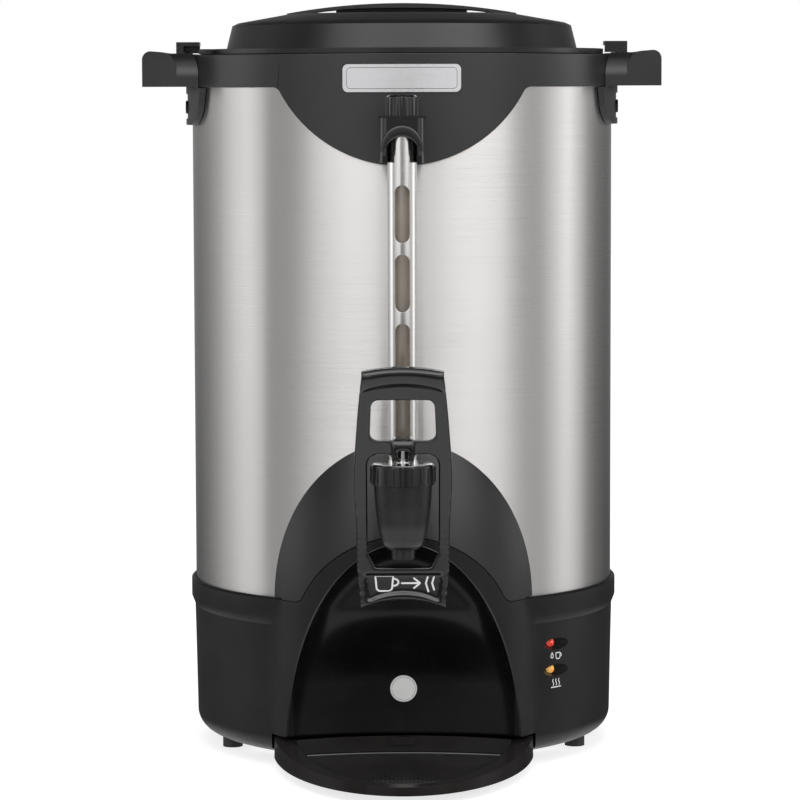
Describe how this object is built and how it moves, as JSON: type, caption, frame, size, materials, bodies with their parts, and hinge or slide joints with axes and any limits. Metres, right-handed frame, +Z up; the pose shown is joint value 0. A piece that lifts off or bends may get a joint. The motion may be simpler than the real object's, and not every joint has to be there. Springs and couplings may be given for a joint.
{
  "type": "coffee urn",
  "caption": "Percolating coffee urn: steel tank on a moulded base, press-lever tap over a cup recess, slotted sight gauge, twist-lock lid and drip tray.",
  "frame": {"origin": "on the counter, on the axis of the tank, in the middle of the four feet", "axes": "+Z up along the tank's axis, -Y towards the tap and the user, +X to the right seen from the front"},
  "size_m": [0.3036, 0.3388, 0.4411],
  "materials": {
    "steel": "brushed stainless steel",
    "sheet": "plain stainless sheet",
    "black_satin": "fine-grained black plastic",
    "black_gloss": "polished black plastic",
    "silver": "satin silver plate",
    "white_label": "smooth pale disc",
    "chrome": "polished",
    "screw_steel": "zinc-plated",
    "glass": "clear tube",
    "red_lens": "clear red lens",
    "amber_lens": "clear amber lens",
    "rubber": "soft black rubber",
    "silicone": "pale silicone",
    "heater": "cast heater ring",
    "mica": "heater band",
    "wire": "heat-proof wire sleeve",
    "board": "circuit board",
    "terminal": "white terminal block",
    "spring_steel": "spring wire"
  },
  "bodies": {
    "urn": {"tank": "steel", "top_collar": "black_satin", "badge_plate": "silver", "base_housing": "black_satin", "splash_panel": "black_gloss", "recess_disc": "white_label", "tap_hood": "black_satin", "rubber_feet": "rubber", "base_pan": "sheet", "base_screws": "screw_steel", "tie_stud": "screw_steel", "tie_nut": "screw_steel", "heating_well": "sheet", "brew_element": "heater", "warm_element": "mica", "thermostat": "terminal", "thermal_fuse": "terminal", "terminal_block": "terminal", "inner_wires": "wire", "power_inlet": "black_satin", "inlet_pins": "chrome", "brew_lens": "red_lens", "warm_lens": "amber_lens", "indicator_board": "board", "tap_body": "black_satin", "outer_washer": "silicone", "inner_washer": "silicone", "shank_nut": "sheet", "bonnet_ring": "black_satin", "bonnet_cap": "chrome", "stem_spring": "spring_steel", "gauge_shield": "steel", "gauge_glass": "glass", "gauge_seals": "silicone", "gauge_bracket": "black_gloss", "handle_right": "black_satin", "handle_left": "black_satin", "handle_screws": "screw_steel", "handle_nuts": "screw_steel", "lid_lock_right": "black_satin", "lid_lock_left": "black_satin"},
    "tray": {"drip_tray": "black_satin"},
    "stem": {"valve_stem": "chrome", "seat_cup": "silicone"},
    "lever": {"lever": "black_gloss", "lever_pin": "chrome"},
    "gauge_knob": {"gauge_cap_nut": "black_satin"},
    "pump": {"pump_tube": "sheet", "pump_foot": "sheet"},
    "basket": {"brew_basket": "sheet"},
    "cover": {"basket_cover": "sheet"},
    "lid_ring": {"lid_seal": "silicone"},
    "lid": {"lid_shell": "black_satin", "lid_handle": "black_satin", "lid_screws": "screw_steel"}
  },
  "joints": [
    {"name": "tray_slide", "type": "slide", "parent": "urn", "child": "tray", "axis": [0, -1, 0], "range_m": [0, 0.09]},
    {"name": "stem_lift", "type": "slide", "parent": "urn", "child": "stem", "axis": [0, 0, 1], "range_m": [0, 0.002], "deforming": ["stem_spring"]},
    {"name": "lever_tilt", "type": "hinge", "parent": "stem", "child": "lever", "pos_m": [0, -0.1722, 0.1926], "axis": [1, 0, 0], "range_deg": [0, 13], "stiffness_Nm_per_rad": 1.2, "springref_deg": -20.05},
    {"name": "gauge_knob_turn", "type": "hinge", "parent": "urn", "child": "gauge_knob", "pos_m": [0, -0.145, 0.38], "axis": [0, 0, 1], "continuous": true},
    {"name": "pump_lift", "type": "slide", "parent": "urn", "child": "pump", "axis": [0, 0, 1], "range_m": [0, 0.35]},
    {"name": "basket_lift", "type": "slide", "parent": "pump", "child": "basket", "axis": [0, 0, 1], "range_m": [0, 0.12]},
    {"name": "cover_lift", "type": "slide", "parent": "basket", "child": "cover", "axis": [0, 0, 1], "range_m": [0, 0.06]},
    {"name": "lid_lift", "type": "slide", "parent": "cover", "child": "lid_ring", "axis": [0, 0, 1], "range_m": [0, 0.08]},
    {"name": "lid_twist", "type": "hinge", "parent": "lid_ring", "child": "lid", "pos_m": [0, 0, 0.4126], "axis": [0, 0, 1], "range_deg": [-22, 0]}
  ],
  "couplings": [
    {"joint": "lever_tilt", "follows": "stem_lift", "rad_per_m": 100}
  ]
}
